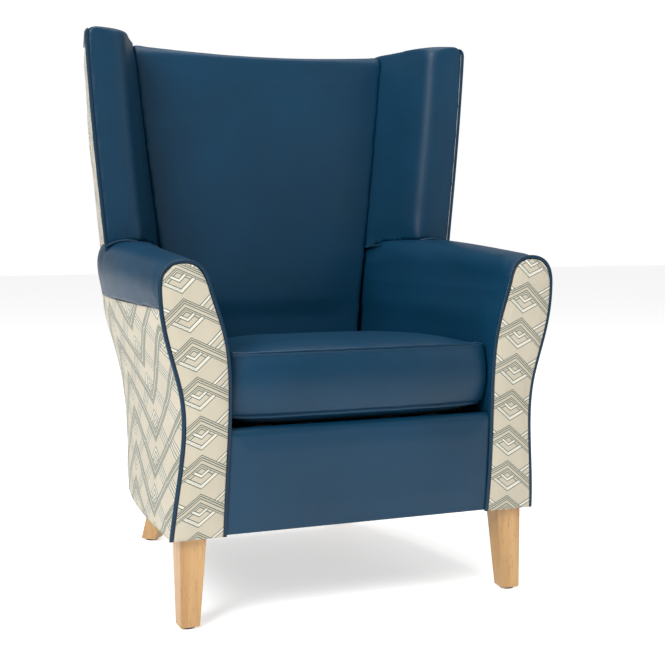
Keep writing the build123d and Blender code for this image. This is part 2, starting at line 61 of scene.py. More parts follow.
class Value:
    """A number in a material's node graph, with arithmetic."""

    def __init__(self, tree, socket):
        self.tree = tree
        self.socket = socket

    def math(self, operation, *others):
        node = self.tree.nodes.new("ShaderNodeMath")
        node.operation = operation
        for slot, value in zip(node.inputs, (self, *others)):
            if isinstance(value, Value):
                self.tree.links.new(value.socket, slot)
            else:
                slot.default_value = value
        return Value(self.tree, node.outputs[0])

    def __add__(self, other):
        return self.math("ADD", other)

    def __mul__(self, other):
        return self.math("MULTIPLY", other)

    __rmul__ = __mul__

    def __sub__(self, other):
        return self.math("SUBTRACT", other)

    def __neg__(self):
        return self.math("MULTIPLY", -1.0)

    def __rsub__(self, other):
        return -self + other

    def above(self, edge, soft):
        """0 below the edge and 1 above it, over a soft step."""
        node = self.tree.nodes.new("ShaderNodeMapRange")
        node.interpolation_type = "SMOOTHSTEP"
        node.inputs["From Min"].default_value = edge - soft / 2
        node.inputs["From Max"].default_value = edge + soft / 2
        self.tree.links.new(self.socket, node.inputs["Value"])
        return Value(self.tree, node.outputs["Result"])

    def between(self, low, high, soft):
        return self.above(low, soft) * (1.0 - self.above(high, soft))

    def near(self, centre, half_width, soft):
        return self.between(centre - half_width, centre + half_width, soft)

    def either(self, other):
        return self.math("MAXIMUM", other)


class Material:
    """A material with a principled shader, the piece's own coordinates and ways to mix colours."""

    def __init__(self, name):
        self.material = bpy.data.materials.new(name)
        self.material.use_nodes = True
        self.tree = self.material.node_tree
        self.shader = self.tree.nodes["Principled BSDF"]
        self.place = self.tree.nodes.new("ShaderNodeTexCoord").outputs["Object"]
        split = self.tree.nodes.new("ShaderNodeSeparateXYZ")
        self.tree.links.new(self.place, split.inputs[0])
        self.x, self.y, self.z = (Value(self.tree, socket) for socket in split.outputs)

    def stretched(self, scale):
        node = self.tree.nodes.new("ShaderNodeMapping")
        node.inputs["Scale"].default_value = scale
        self.tree.links.new(self.place, node.inputs["Vector"])
        return node.outputs[0]

    def noise(self, scale, detail=3.0, place=None, distortion=0.0):
        node = self.tree.nodes.new("ShaderNodeTexNoise")
        node.inputs["Scale"].default_value = scale
        node.inputs["Detail"].default_value = detail
        node.inputs["Roughness"].default_value = 0.55
        node.inputs["Distortion"].default_value = distortion
        self.tree.links.new(place or self.place, node.inputs["Vector"])
        return Value(self.tree, node.outputs["Fac"])

    def cells(self, scale):
        node = self.tree.nodes.new("ShaderNodeTexVoronoi")
        node.inputs["Scale"].default_value = scale
        self.tree.links.new(self.place, node.inputs["Vector"])
        return Value(self.tree, node.outputs["Distance"])

    def mix(self, factor, first, second):
        """A colour between two, each a colour or another mix."""
        node = self.tree.nodes.new("ShaderNodeMix")
        node.data_type = "RGBA"
        colour_inputs = [socket for socket in node.inputs if socket.type == "RGBA"]
        self.tree.links.new(factor.socket, node.inputs["Factor"])
        for socket, colour in zip(colour_inputs, (first, second)):
            if isinstance(colour, tuple):
                socket.default_value = (*colour, 1.0)
            else:
                self.tree.links.new(colour, socket)
        return next(socket for socket in node.outputs if socket.type == "RGBA")

    def colour(self, socket):
        self.tree.links.new(socket, self.shader.inputs["Base Color"])

    def roughness(self, value):
        self.tree.links.new(value.socket, self.shader.inputs["Roughness"])

    def bump(self, *layers):
        """Each layer is (height, depth in metres), finest last."""
        normal = None
        for height, depth in layers:
            node = self.tree.nodes.new("ShaderNodeBump")
            node.inputs["Distance"].default_value = depth
            self.tree.links.new(height.socket, node.inputs["Height"])
            if normal is not None:
                self.tree.links.new(normal, node.inputs["Normal"])
            normal = node.outputs["Normal"]
        self.tree.links.new(normal, self.shader.inputs["Normal"])

    def set(self, **constants):
        for name, value in constants.items():
            self.shader.inputs[name.replace("_", " ")].default_value = value
        return self.material


def linear(red, green, blue):
    """An sRGB colour, 0 to 255, as linear light."""

    def channel(level):
        if level <= 10:
            return level / 255 / 12.92
        return ((level / 255 + 0.055) / 1.055) ** 2.4

    return channel(red), channel(green), channel(blue)


# ---------------------------------------------------------------------------------------------
# Materials


def vinyl(name, deep, light):
    """Coated fabric: a fine pressed grain, soft sheen and slow changes of tone."""
    m = Material(name)
    tone = m.noise(5.0, detail=2.0).above(0.5, 0.9)
    speck = m.noise(260.0, detail=2.0).above(0.55, 0.5)
    m.colour(m.mix(speck * 0.25, m.mix(tone, deep, light), light))
    grain = m.cells(620.0)
    pores = m.noise(900.0, detail=2.0)
    m.roughness(m.noise(30.0, detail=4.0) * 0.10 + grain * 0.06 + 0.32)
    sag = m.noise(11.0, detail=2.0)
    creases = m.noise(70.0, detail=3.0)
    m.bump((sag, 0.0012), (creases, 0.0003), (grain + pores * 0.5, 0.00018))
    return m.set(Specular_IOR_Level=0.24)


CREAM = linear(186, 178, 160)
CREAM_SHADE = linear(174, 166, 148)
STRIP = linear(222, 219, 207)
LINE = linear(0, 62, 60)
YARN_SHADE = linear(150, 142, 122)

# The woven pattern, in metres: a zigzag of two bands with nested diamonds under its peaks and,
# turned over, above its valleys. Places are heights below a leg of the zigzag: below its own leg
# for the band, and below the other leg, carried on past the peak, for the two strips.
REPEAT_UP = 0.0668
HALF_REPEAT_ACROSS = 0.171
LEG_SLOPE = 0.675
BAND = 0.0200               # height of the double band
BAND_LINES = (0.0006, 0.0044, 0.0088, 0.0158, 0.0196)
BAND_HATCHES = ((0.0006, 0.0088), (0.0158, 0.0196))
INNER_STRIP = (0.0342, 0.0404)
OUTER_STRIP = (0.0515, 0.0590)
INNER_DIAMOND_EDGE = 0.0232
OUTER_DIAMOND_EDGE = 0.0250
HATCH_PITCH = 0.0026
LINE_HALF = 0.00076         # half the width of a drawn line on a facing
SIDE_LINE_HALF = 0.00115    # and on the larger panels
EDGE = 0.0003               # softness of a woven edge
SHARP = 0.00001             # softness of a border that isn't seen itself


def strongest(masks):
    return reduce(Value.either, masks)


def woven_pattern(across, up, line_half):
    """The pattern at a place: how much line, how much white strip."""
    u = across.math("PINGPONG", HALF_REPEAT_ACROSS)
    down = -up
    valley = u.above(HALF_REPEAT_ACROSS / 2, SHARP)
    drop = LEG_SLOPE * HALF_REPEAT_ACROSS
    u_here = u + valley * (HALF_REPEAT_ACROSS - 2.0 * u)
    down_here = down + valley * (drop + BAND - 2.0 * down)
    rise = u_here * LEG_SLOPE
    own_leg = (down_here - rise).math("FLOORED_MODULO", REPEAT_UP)
    other_leg = own_leg + rise + rise

    def lines_at(leg, *places):
        return strongest([leg.near(place, line_half, EDGE) for place in places])

    hatch = ((across * 0.35 + up) * (2 * pi / HATCH_PITCH)).math("SINE").above(0.25, 0.9)
    band_hatch = strongest([own_leg.between(*places, EDGE) for places in BAND_HATCHES]) * hatch
    band_lines = lines_at(own_leg, *BAND_LINES).either(band_hatch * 0.25)

    next_inner = [REPEAT_UP + place for place in INNER_STRIP]
    next_outer = [REPEAT_UP + place for place in OUTER_STRIP]
    inner, outer, crossing_inner, crossing_outer = (
        other_leg.between(*places, EDGE) for places in (INNER_STRIP, OUTER_STRIP, next_inner, next_outer)
    )
    inside_inner = 1.0 - other_leg.above(INNER_STRIP[0], SHARP)
    between_strips = other_leg.between(INNER_STRIP[1], OUTER_STRIP[0], EDGE)
    one_side = 1.0 - (across * (pi / HALF_REPEAT_ACROSS)).math("SINE").above(0.0, 0.05)
    field_lines = strongest([
        lines_at(other_leg, *INNER_STRIP, *OUTER_STRIP),
        lines_at(own_leg, INNER_DIAMOND_EDGE) * inside_inner,
        lines_at(own_leg, OUTER_DIAMOND_EDGE) * between_strips,
        outer * hatch * one_side * 0.4,
        lines_at(other_leg, *next_inner, *next_outer),
        crossing_outer * hatch * 0.4,
    ])

    in_band = 1.0 - own_leg.above(BAND, SHARP)
    in_field = 1.0 - in_band
    lines = (band_lines * in_band).either(field_lines * in_field)
    strips = strongest([inner, outer, crossing_inner, crossing_outer]) * in_field
    return lines, strips


def woven_fabric(name, across_axis, direction, origin, angle, curve=0.0, line_half=LINE_HALF):
    """Flat-woven furnishing fabric, its pattern turned by angle about an origin (across, up).

    A curve bends the pattern sideways with height, as on a facing that leans over.
    """
    m = Material(name)
    flat = {"x": m.x, "y": m.y}[across_axis]
    wobble = m.noise(6.0, detail=1.0) * 0.0016
    side = (flat - origin[0]) * direction
    height = m.z - origin[1]
    across = side * cos(angle) - height * sin(angle) - height * height * curve + wobble
    up = side * sin(angle) + height * cos(angle) + wobble
    lines, strips = woven_pattern(across, up, line_half)

    yarn = 0.00075
    weft = (up * (2 * pi / yarn)).math("SINE")
    warp = (across * (2 * pi / yarn)).math("SINE")
    weave = weft * warp
    slub = m.noise(420.0, detail=3.0, place=m.stretched((1.0, 1.0, 3.0)))
    patch = m.noise(9.0, detail=3.0)
    cloth = m.mix(patch.above(0.5, 0.8), CREAM_SHADE, CREAM)
    cloth = m.mix(strips * 0.6, cloth, STRIP)
    thread = lines * (slub * 0.3 + 0.85)
    cloth = m.mix(thread.math("MINIMUM", 1.0), cloth, LINE)
    m.colour(m.mix((weave * 0.06 + slub * 0.14).math("MAXIMUM", 0.0), cloth, YARN_SHADE))
    m.roughness(slub * 0.15 + 0.78)
    m.bump((patch, 0.0012), (strips - lines * 0.6, 0.00012), (weave * 0.5 + slub, 0.00016))
    return m.set(Specular_IOR_Level=0.3, Sheen_Weight=0.15, Sheen_Roughness=0.5)


def wood(name, dark, light, grain=1.0):
    """Close-grained timber with its grain along Z: slow bands, fine pores and short dark flecks."""
    m = Material(name)
    bands = m.noise(34.0, detail=4.0, distortion=0.6, place=m.stretched((1.0, 1.0, 0.06)))
    pores = m.noise(900.0, detail=2.0, place=m.stretched((1.0, 1.0, 0.03)))
    flecks = m.noise(420.0, detail=1.0, place=m.stretched((1.0, 1.0, 0.12))).above(0.68, 0.06)
    timber = m.mix(bands.above(0.5, 0.5), dark, light)
    deep = tuple(c * 0.55 for c in dark)
    timber = m.mix(pores.above(0.6, 0.3) * 0.25 * grain, timber, deep)
    m.colour(m.mix(flecks * 0.45 * grain, timber, deep))
    m.roughness(bands * 0.12 + pores * 0.08 + 0.34)
    m.bump((bands, 0.0003), (pores, 0.00008))
    return m.set(Specular_IOR_Level=0.45, Coat_Weight=0.15, Coat_Roughness=0.3)


def metal(name, tone):
    m = Material(name)
    scratch = m.noise(600.0, detail=3.0, place=m.stretched((1.0, 0.1, 1.0)))
    m.colour(m.mix(scratch, tuple(c * 0.75 for c in tone), tone))
    m.roughness(scratch * 0.2 + 0.28)
    m.bump((scratch, 0.00005))
    return m.set(Metallic=1.0)


def plain_cloth(name, dark, light, yarn):
    """A coarse plain weave, for what isn't seen: dust cover, webbing, platform."""
    m = Material(name)
    weave = (m.x * (2 * pi / yarn)).math("SINE") * ((m.y + m.z) * (2 * pi / yarn)).math("SINE")
    fibre = m.noise(500.0, detail=3.0)
    m.colour(m.mix((weave * 0.3 + fibre * 0.7).math("MAXIMUM", 0.0), dark, light))
    m.roughness(fibre * 0.1 + 0.82)
    m.bump((weave + fibre, 0.0003))
    return m.set(Specular_IOR_Level=0.2, Sheen_Weight=0.1)


def foam_material(name):
    m = Material(name)
    cells = m.cells(700.0)
    m.colour(m.mix(cells, linear(196, 186, 150), linear(226, 218, 186)))
    m.roughness(cells * 0.1 + 0.85)
    m.bump((cells, 0.0004))
    return m.set(Specular_IOR_Level=0.2)


def plastic(name, tone):
    m = Material(name)
    grain = m.noise(800.0, detail=2.0)
    m.colour(m.mix(grain, tuple(c * 0.8 for c in tone), tone))
    m.roughness(grain * 0.15 + 0.45)
    m.bump((grain, 0.00006))
    return m.set(Specular_IOR_Level=0.4)


BLUE_DEEP = linear(3, 41, 62)
BLUE_LIGHT = linear(6, 51, 76)
blue_vinyl = vinyl("blue_vinyl", BLUE_DEEP, BLUE_LIGHT)
piping_vinyl = vinyl("piping_vinyl", tuple(0.8 * c for c in BLUE_DEEP), BLUE_DEEP)
beech = wood("beech", linear(160, 120, 72), linear(186, 148, 98))
frame_timber = wood("frame_timber", linear(186, 150, 104), linear(212, 182, 138))
steel = metal("spring_steel", (0.55, 0.55, 0.56))
dust_cloth = plain_cloth("dust_cloth", (0.008, 0.008, 0.009), (0.03, 0.03, 0.032), 0.0016)
webbing = plain_cloth("webbing", linear(84, 66, 44), linear(150, 126, 92), 0.0022)
felt = plain_cloth("platform_felt", linear(46, 46, 48), linear(92, 92, 94), 0.0012)
foam = foam_material("foam")
glide_plastic = plastic("glide_plastic", (0.02, 0.02, 0.021))

facing_fabric = {
    "left": woven_fabric("facing_fabric_left", "x", 1, (-0.3225, 0.5121), radians(-9.5), -0.35),
    "right": woven_fabric("facing_fabric_right", "x", 1, (0.3094, 0.5268), radians(9.9), 0.40),
}
side_fabric = {
    "left": woven_fabric("side_fabric_left", "y", -1, (0.02, 0.486), radians(-8.0), line_half=SIDE_LINE_HALF),
    "right": woven_fabric("side_fabric_right", "y", 1, (0.02, 0.486), radians(8.0), line_half=SIDE_LINE_HALF),
}
back_fabric = woven_fabric("back_fabric", "x", -1, (0.0, 0.60), 0.0, line_half=SIDE_LINE_HALF)


# ---------------------------------------------------------------------------------------------
# Mesh helpers

VOXEL = 0.0045
SEAM_LEAST_ANGLE = radians(28.0)
SEAM_POINT_STEP = 0.004


def new_piece(name, vertices, faces):
    mesh = bpy.data.meshes.new(name)
    mesh.from_pydata([tuple(v) for v in vertices], [], faces)
    mesh.update()
    obj = bpy.data.objects.new(name, mesh)
    bpy.context.scene.collection.objects.link(obj)
    return obj


def smooth_shading(obj):
    obj.data.polygons.foreach_set("use_smooth", [True] * len(obj.data.polygons))
    obj.data.update()


def finish_piece(obj, material, body, nodes):
    """Gives a piece its material and smooth shading, puts it under its body's empty and hides the CAD nodes
    it stands for.
    """
    obj.data.materials.clear()
    obj.data.materials.append(material)
    smooth_shading(obj)
    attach(obj, body)
    if nodes:
        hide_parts(*nodes)


def bake_modifiers(obj):
    """Turns what the modifiers show into the piece's own mesh."""
    shown = obj.evaluated_get(bpy.context.evaluated_depsgraph_get())
    obj.data = bpy.data.meshes.new_from_object(shown)
    obj.modifiers.clear()


def welded_mesh(node):
    """The CAD node's mesh with its doubled vertices joined, as a bmesh."""
    bm = bmesh.new()
    bm.from_mesh(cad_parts[node].data)
    bmesh.ops.remove_doubles(bm, verts=bm.verts, dist=0.00002)
    return bm


def vertex_vectors(obj, attribute):
    flat = np.empty(len(obj.data.vertices) * 3)
    obj.data.vertices.foreach_get(attribute, flat)
    return flat.reshape(-1, 3)


def positions(obj):
    return vertex_vectors(obj, "co")


def normals(obj):
    return vertex_vectors(obj, "normal")


def move_to(obj, points):
    obj.data.vertices.foreach_set("co", points.ravel())
    obj.data.update()


def smoothstep(values):
    t = np.clip(values, 0.0, 1.0)
    return t * t * (3 - 2 * t)


def copied(node, name):
    """A copy of a CAD solid, vertex for vertex."""
    bm = welded_mesh(node)
    obj = new_piece(name, [], [])
    bm.to_mesh(obj.data)
    bm.free()
    return obj


def remeshed(node, name, rounds):
    """A copy of a CAD solid as an even, slightly rounded skin of quads."""
    obj = copied(node, name)
    remesh = obj.modifiers.new("remesh", "REMESH")
    remesh.mode = "VOXEL"
    remesh.voxel_size = VOXEL
    relax = obj.modifiers.new("relax", "SMOOTH")
    relax.factor = 0.5
    relax.iterations = rounds
    bake_modifiers(obj)
    return obj


def point_tree(points):
    tree = KDTree(len(points))
    for index, point in enumerate(points):
        tree.insert(Vector(point), index)
    tree.balance()
    return tree


def sharp_edge_tree(node):
    """Points along the CAD solid's sharp edges, which are its seams."""
    bm = welded_mesh(node)
    bm.normal_update()
    points = []
    for edge in bm.edges:
        if len(edge.link_faces) != 2 or edge.calc_face_angle(0.0) < SEAM_LEAST_ANGLE:
            continue
        start, end = (v.co for v in edge.verts)
        count = max(1, int((end - start).length / SEAM_POINT_STEP))
        points += [start.lerp(end, i / count) for i in range(count + 1)]
    bm.free()
    return point_tree(points)


def seam_distance(points, tree):
    return np.array([tree.find(Vector(p))[2] for p in points])


def pad_out(obj, distance, rise, reach, tuck, tuck_reach):
    """Stuffing: the surface rises away from its seams, above the seat, and is drawn in along them."""
    above_seat = smoothstep((positions(obj)[:, 2] - SEAT_LEVEL) / 0.05)
    swell = rise * smoothstep(distance / reach) * above_seat
    drawn = tuck * np.exp(-((distance / tuck_reach) ** 2))
    move_to(obj, positions(obj) + normals(obj) * (swell - drawn)[:, None])


def soften(obj, weights, rounds):
    """Rounds the surface off where the weights say so."""
    group = obj.vertex_groups.new(name="soft")
    for index in np.nonzero(weights > 0.01)[0]:
        group.add([int(index)], float(weights[index]), "REPLACE")
    relax = obj.modifiers.new("relax", "SMOOTH")
    relax.factor = 0.6
    relax.iterations = rounds
    relax.vertex_group = "soft"
    bake_modifiers(obj)
    obj.vertex_groups.clear()


def end_at_seam(obj):
    """Ends the wing's inner side at its seam with the arm, instead of running on down beside the arm."""
    points = positions(obj)
    inner = 1 - smoothstep((np.abs(points[:, 0]) - 0.258) / 0.016)
    points[:, 2] += np.maximum(WING_SEAM_Z - points[:, 2], 0) * inner
    move_to(obj, points)


def wing_front_edge(points, sign):
    """1 along the soft inner edge of a wing's front, falling to 0 about 40 mm away."""
    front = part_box("right_wing_pad")[0][1]
    edge_x = 0.295 + (points[:, 2] - 0.600) * 0.0755
    away = np.hypot(points[:, 0] * sign - edge_x, points[:, 1] - front)
    return np.exp(-((away / 0.026) ** 2)) * smoothstep((points[:, 2] - 0.67) / 0.05)


def hug(obj, node, reach=0.010, gap=0.0006):
    """Draws the cover up to the piping it is sewn to."""
    bm = welded_mesh(node)
    tree = BVHTree.FromBMesh(bm)
    bm.free()
    points = positions(obj)
    for index, point in enumerate(points):
        nearest, _, _, distance = tree.find_nearest(Vector(point), reach)
        if nearest is not None and distance > gap:
            share = smoothstep((reach - distance) / (reach * 0.5)) * (1 - gap / distance)
            points[index] += (np.array(nearest) - point) * share
    move_to(obj, points)


def round_wing_top(obj, sign, radius=0.024):
    """Rounds the top outer corner of everything on a wing, as seen from the front."""
    points = positions(obj)
    inward = np.clip(WING_OUTER - points[:, 0] * sign, 0, radius)
    drop = radius - np.sqrt(radius**2 - (radius - inward) ** 2)
    near_top = smoothstep((points[:, 2] - WING_TOP + 0.13) / 0.12)
    points[:, 2] -= drop * near_top
    move_to(obj, points)


def pull_wrinkles(obj, distance, height, spacing, reach, seed):
    """Small pulls that run away from the seams and fade out."""
    points = positions(obj)
    rng = np.random.default_rng(seed)
    waves = np.zeros(len(points))
    for _ in range(6):
        direction = rng.normal(size=3)
        direction /= np.linalg.norm(direction)
        wavelength = spacing * rng.uniform(0.7, 1.5)
        phase = rng.uniform(0, 2 * pi)
        waves += np.sin(points @ direction * (2 * pi / wavelength) + phase)
    fade = np.exp(-distance / reach) * smoothstep(distance / 0.006)
    move_to(obj, points + normals(obj) * (height * waves / 3 * fade)[:, None])


# ---------------------------------------------------------------------------------------------
# Thin covered panels, laid over the CAD panel's outer face

PANEL_INSET = 0.0004        # how far a panel stops short of the CAD panel's rim


def slice_range(mesh_edges, along, level, across):
    """Where a CAD solid begins and ends across a level."""
    a, b = mesh_edges
    below, above = np.minimum(a[:, along], b[:, along]), np.maximum(a[:, along], b[:, along])
    hit = (below <= level) & (above >= level) & (above > below)
    share = (level - a[hit, along]) / (b[hit, along] - a[hit, along])
    crossing = a[hit, across] + (b[hit, across] - a[hit, across]) * share
    return crossing.min(), crossing.max()


def outer_face(node, along, across, out_axis, sign, rows, columns, ease_top, trim):
    """Rows and columns of points on the CAD node's outer face."""
    bm = welded_mesh(node)
    tree = BVHTree.FromBMesh(bm)
    ends = [np.array([edge.verts[i].co[:] for edge in bm.edges]) for i in (0, 1)]
    bm.free()
    low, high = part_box(node)
    span = high[along] - low[along] - 2 * PANEL_INSET - trim
    toward = Vector((0, 0, 0))
    toward[out_axis] = -sign
    face = []
    for row in range(rows + 1):
        share = row / rows
        if ease_top:
            share = sin(share * pi / 2)
        level = low[along] + PANEL_INSET + trim + span * share
        start, end = slice_range(ends, along, level, across)
        margin = min(PANEL_INSET, (end - start) / 4)
        line = []
        for column in range(columns + 1):
            place = start + margin + (end - start - 2 * margin) * column / columns
            origin = Vector((0, 0, 0))
            origin[along], origin[across], origin[out_axis] = level, place, sign * 2.0
            hit = tree.ray_cast(origin, toward)[0]
            if hit is None:
                hit = Vector(line[-1]) if line else tree.find_nearest(origin)[0]
                hit[across], hit[along] = place, level
            line.append(np.array(hit))
        face.append(line)
    return np.array(face)


def steps_from_ends(count):
    steps = np.arange(count + 1)
    return np.minimum(steps, count - steps)


def distance_from_rim(face):
    """About how far each point of a face is from the face's rim."""
    rows, columns = face.shape[0] - 1, face.shape[1] - 1
    row_step = np.linalg.norm(face[1:, columns // 2] - face[:-1, columns // 2], axis=1).mean()
    widths = np.linalg.norm(face[:, -1] - face[:, 0], axis=1)[:, None]
    from_ends = steps_from_ends(rows)[:, None] * row_step
    from_sides = steps_from_ends(columns)[None, :] * widths / columns
    return np.minimum(from_ends, from_sides)


def thin_shell_faces(rows, columns):
    """Faces of a grid of points, of a second grid behind it and of the rim that joins them."""

    def index(row, column, side):
        return (side * (rows + 1) + row) * (columns + 1) + column

    faces = []
    for row in range(rows):
        for column in range(columns):
            for side in (0, 1):
                quad = [
                    index(row, column, side), index(row, column + 1, side),
                    index(row + 1, column + 1, side), index(row + 1, column, side),
                ]
                faces.append(quad if side == 0 else quad[::-1])
    rim = [(0, c) for c in range(columns + 1)] + [(r, columns) for r in range(1, rows + 1)]
    rim += [(rows, c) for c in range(columns - 1, -1, -1)] + [(r, 0) for r in range(rows - 1, 0, -1)]
    for (r0, c0), (r1, c1) in zip(rim, rim[1:] + rim[:1]):
        faces.append([index(r0, c0, 1), index(r1, c1, 1), index(r1, c1, 0), index(r0, c0, 0)])
    return faces


def turn_faces_outward(obj):
    bm = bmesh.new()
    bm.from_mesh(obj.data)
    bmesh.ops.recalc_face_normals(bm, faces=bm.faces)
    bm.to_mesh(obj.data)
    bm.free()


def panel(node, name, along, across, out_axis, sign, rows, columns, puff, reach, thickness, ease_top=False,
          trim=0.0):
    """A thin panel whose face follows the CAD node's outer face, a little padded."""
    face = outer_face(node, along, across, out_axis, sign, rows, columns, ease_top, trim)
    lift = puff * smoothstep(distance_from_rim(face) / reach)
    face[:, :, out_axis] += sign * lift
    back = face.copy()
    back[:, :, out_axis] -= sign * thickness
    vertices = np.concatenate([face.reshape(-1, 3), back.reshape(-1, 3)])
    obj = new_piece(name, vertices, thin_shell_faces(rows, columns))
    turn_faces_outward(obj)
    return obj


# ---------------------------------------------------------------------------------------------
# Seat cushion: a loose box cushion, top and bottom panels sewn to a border

CUSHION_LOW, CUSHION_HIGH = (np.array(corner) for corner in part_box("seat_cushion_cover"))
CUSHION_TILT = radians(5)       # down to the rear
CUSHION_THICK = 0.1365
CUSHION_HALF_FRONT = CUSHION_HIGH[0]
CUSHION_TAPER = 0.061           # loss of half-width per metre of depth
CUSHION_TOP_SEAM = 0.1245       # seam heights above the underside
CUSHION_BOTTOM_SEAM = 0.0150
CUSHION_CROWN = 0.0265
CUSHION_CORNER_SETBACK = 0.020  # how far the front corners sit behind the middle of the front


def cushion_height(points):
    """Height above the cushion's tilted underside."""
    front_underside = CUSHION_HIGH[2] - CUSHION_THICK
    return points[:, 2] - front_underside + (points[:, 1] - CUSHION_LOW[1]) * tan(CUSHION_TILT)


def cushion_half_width(y):
    return CUSHION_HALF_FRONT - (y - CUSHION_LOW[1]) * CUSHION_TAPER


def inflate(obj, pinned, pressure, cap, frames=20):
    """Blows the skin up like a stuffed cover, held at its seams."""
    scene = bpy.context.scene
    start = positions(obj)
    group = obj.vertex_groups.new(name="seams")
    group.add([int(i) for i in np.nonzero(pinned)[0]], 1.0, "REPLACE")
    cloth = obj.modifiers.new("cloth", "CLOTH")
    cloth.settings.quality = 4
    cloth.settings.mass = 0.3
    cloth.settings.tension_stiffness = 12
    cloth.settings.compression_stiffness = 12
    cloth.settings.bending_stiffness = 0.8
    cloth.settings.use_pressure = True
    cloth.settings.uniform_pressure_force = pressure
    cloth.settings.vertex_group_mass = "seams"
    cloth.settings.effector_weights.gravity = 0
    cloth.point_cache.frame_start = 1
    cloth.point_cache.frame_end = frames
    for step in range(1, frames + 1):
        scene.frame_set(step)
    bake_modifiers(obj)
    scene.frame_set(1)
    obj.vertex_groups.clear()
    moved = positions(obj) - start
    length = np.maximum(np.linalg.norm(moved, axis=1, keepdims=True), 1e-9)
    move_to(obj, start + moved * np.minimum(1.0, cap / length))


def subdivide(obj):
    finer = obj.modifiers.new("finer", "SUBSURF")
    finer.levels = 1
    finer.render_levels = 1
    bake_modifiers(obj)


def cushion_plan(u, v):
    """Plan position for a place on the panel, -1 to 1 each way: rounded corners, a bowed front."""
    half_depth = (CUSHION_HIGH[1] - CUSHION_LOW[1]) / 2 - 0.003
    y = (CUSHION_HIGH[1] + CUSHION_LOW[1]) / 2 + half_depth * v * (1 - 0.014 * np.abs(u) ** 20)
    y = y + CUSHION_CORNER_SETBACK * np.abs(u) ** 2.4 * smoothstep(-v) + 0.001
    waist = 0.004 * (1 - v**2)
    x = (cushion_half_width(y) + 0.0008 - waist) * u * (1 - 0.012 * np.abs(v) ** 20)
    return x, y


def cushion_point(u, v, height):
    x, y = cushion_plan(u, v)
    underside = CUSHION_HIGH[2] - CUSHION_THICK - (y - CUSHION_LOW[1]) * tan(CUSHION_TILT)
    return np.stack([x, y, underside + height], axis=-1)


def toward_edges(count):
    """-1 to 1 in steps that get smaller toward both ends, where the seams are."""
    even = np.linspace(-1, 1, count + 1)
    return 0.35 * even + 0.65 * np.sin(even * pi / 2)


def square_rim(count):
    """The places round the panel's edge, in order."""
    side = toward_edges(count)[:-1]
    one = np.ones(count)
    u = np.concatenate([side, one, -side, -one])
    v = np.concatenate([-one, side, one, -side])
    return u, v


def rim_outward(points):
    """Level directions pointing out of a closed ring of points."""
    along = np.roll(points, -1, axis=0) - np.roll(points, 1, axis=0)
    out = np.stack([along[:, 1], -along[:, 0], np.zeros(len(along))], axis=-1)
    return out / np.linalg.norm(out, axis=1, keepdims=True)


def cushion_panels(count):
    """The top and bottom panels as grids of points."""
    across, deep = np.meshgrid(toward_edges(count), toward_edges(count))
    crown = (1 - np.abs(across) ** 5) * (1 - np.abs(deep) ** 5)
    belly = (1 - across**10) * (1 - deep**10)
    sag = 0.0135 + 0.0065 * smoothstep((-0.62 - deep) / 0.2)
    top = cushion_point(across, deep, CUSHION_TOP_SEAM + CUSHION_CROWN * crown)
    bottom = cushion_point(across, deep, CUSHION_BOTTOM_SEAM - sag * belly)
    return top.reshape(-1, 3), bottom.reshape(-1, 3)


def cushion_border(count, border_rows):
    """Rings of points between the two seams, which stand out most along the front."""
    u, v = square_rim(count)
    outward = rim_outward(cushion_point(u, v, 0.0))
    bulge = 0.0015 + 0.0135 * smoothstep((-0.86 - v) / 0.14)
    rings = []
    for row in range(1, border_rows):
        share = (toward_edges(border_rows)[row] + 1) / 2
        ring = cushion_point(u, v, CUSHION_BOTTOM_SEAM + (CUSHION_TOP_SEAM - CUSHION_BOTTOM_SEAM) * share)
        rings.append(ring + outward * (bulge * sin(pi * share) ** 0.7)[:, None])
    return np.concatenate(rings)


def cushion_faces(count, border_rows):
    """Faces of both panels and the border, and the vertices that lie on the two seams."""
    grid_size = (count + 1) ** 2
    rim_length = 4 * count

    def grid_index(row, column, panel_number):
        return panel_number * grid_size + row * (count + 1) + column

    def rim_index(step, panel_number):
        side, along = divmod(step % rim_length, count)
        row, column = [(0, along), (along, count), (count, count - along), (count - along, 0)][side]
        return grid_index(row, column, panel_number)

    def ring_index(step, row):
        if row == 0:
            return rim_index(step, 1)
        if row == border_rows:
            return rim_index(step, 0)
        return 2 * grid_size + (row - 1) * rim_length + step % rim_length

    faces = []
    for row in range(count):
        for column in range(count):
            quad = [(row, column), (row, column + 1), (row + 1, column + 1), (row + 1, column)]
            faces.append([grid_index(r, c, 0) for r, c in quad])
            faces.append([grid_index(r, c, 1) for r, c in reversed(quad)])
    for step in range(rim_length):
        for row in range(border_rows):
            faces.append([
                ring_index(step, row), ring_index(step + 1, row),
                ring_index(step + 1, row + 1), ring_index(step, row + 1),
            ])
    seam_vertices = [rim_index(step, panel_number) for step in range(rim_length) for panel_number in (0, 1)]
    return faces, seam_vertices


def cushion_mesh(name, count, border_rows):
    """Top and bottom panels as grids, joined by a border: the seams are rows of the mesh."""
    top, bottom = cushion_panels(count)
    vertices = np.concatenate([top, bottom, cushion_border(count, border_rows)])
    faces, seam_vertices = cushion_faces(count, border_rows)
    return new_piece(name, vertices, faces), seam_vertices


def seam_tree(height):
    """Points close together along one of the cushion's seams."""
    u, v = square_rim(400)
    return point_tree(cushion_point(u, v, height))


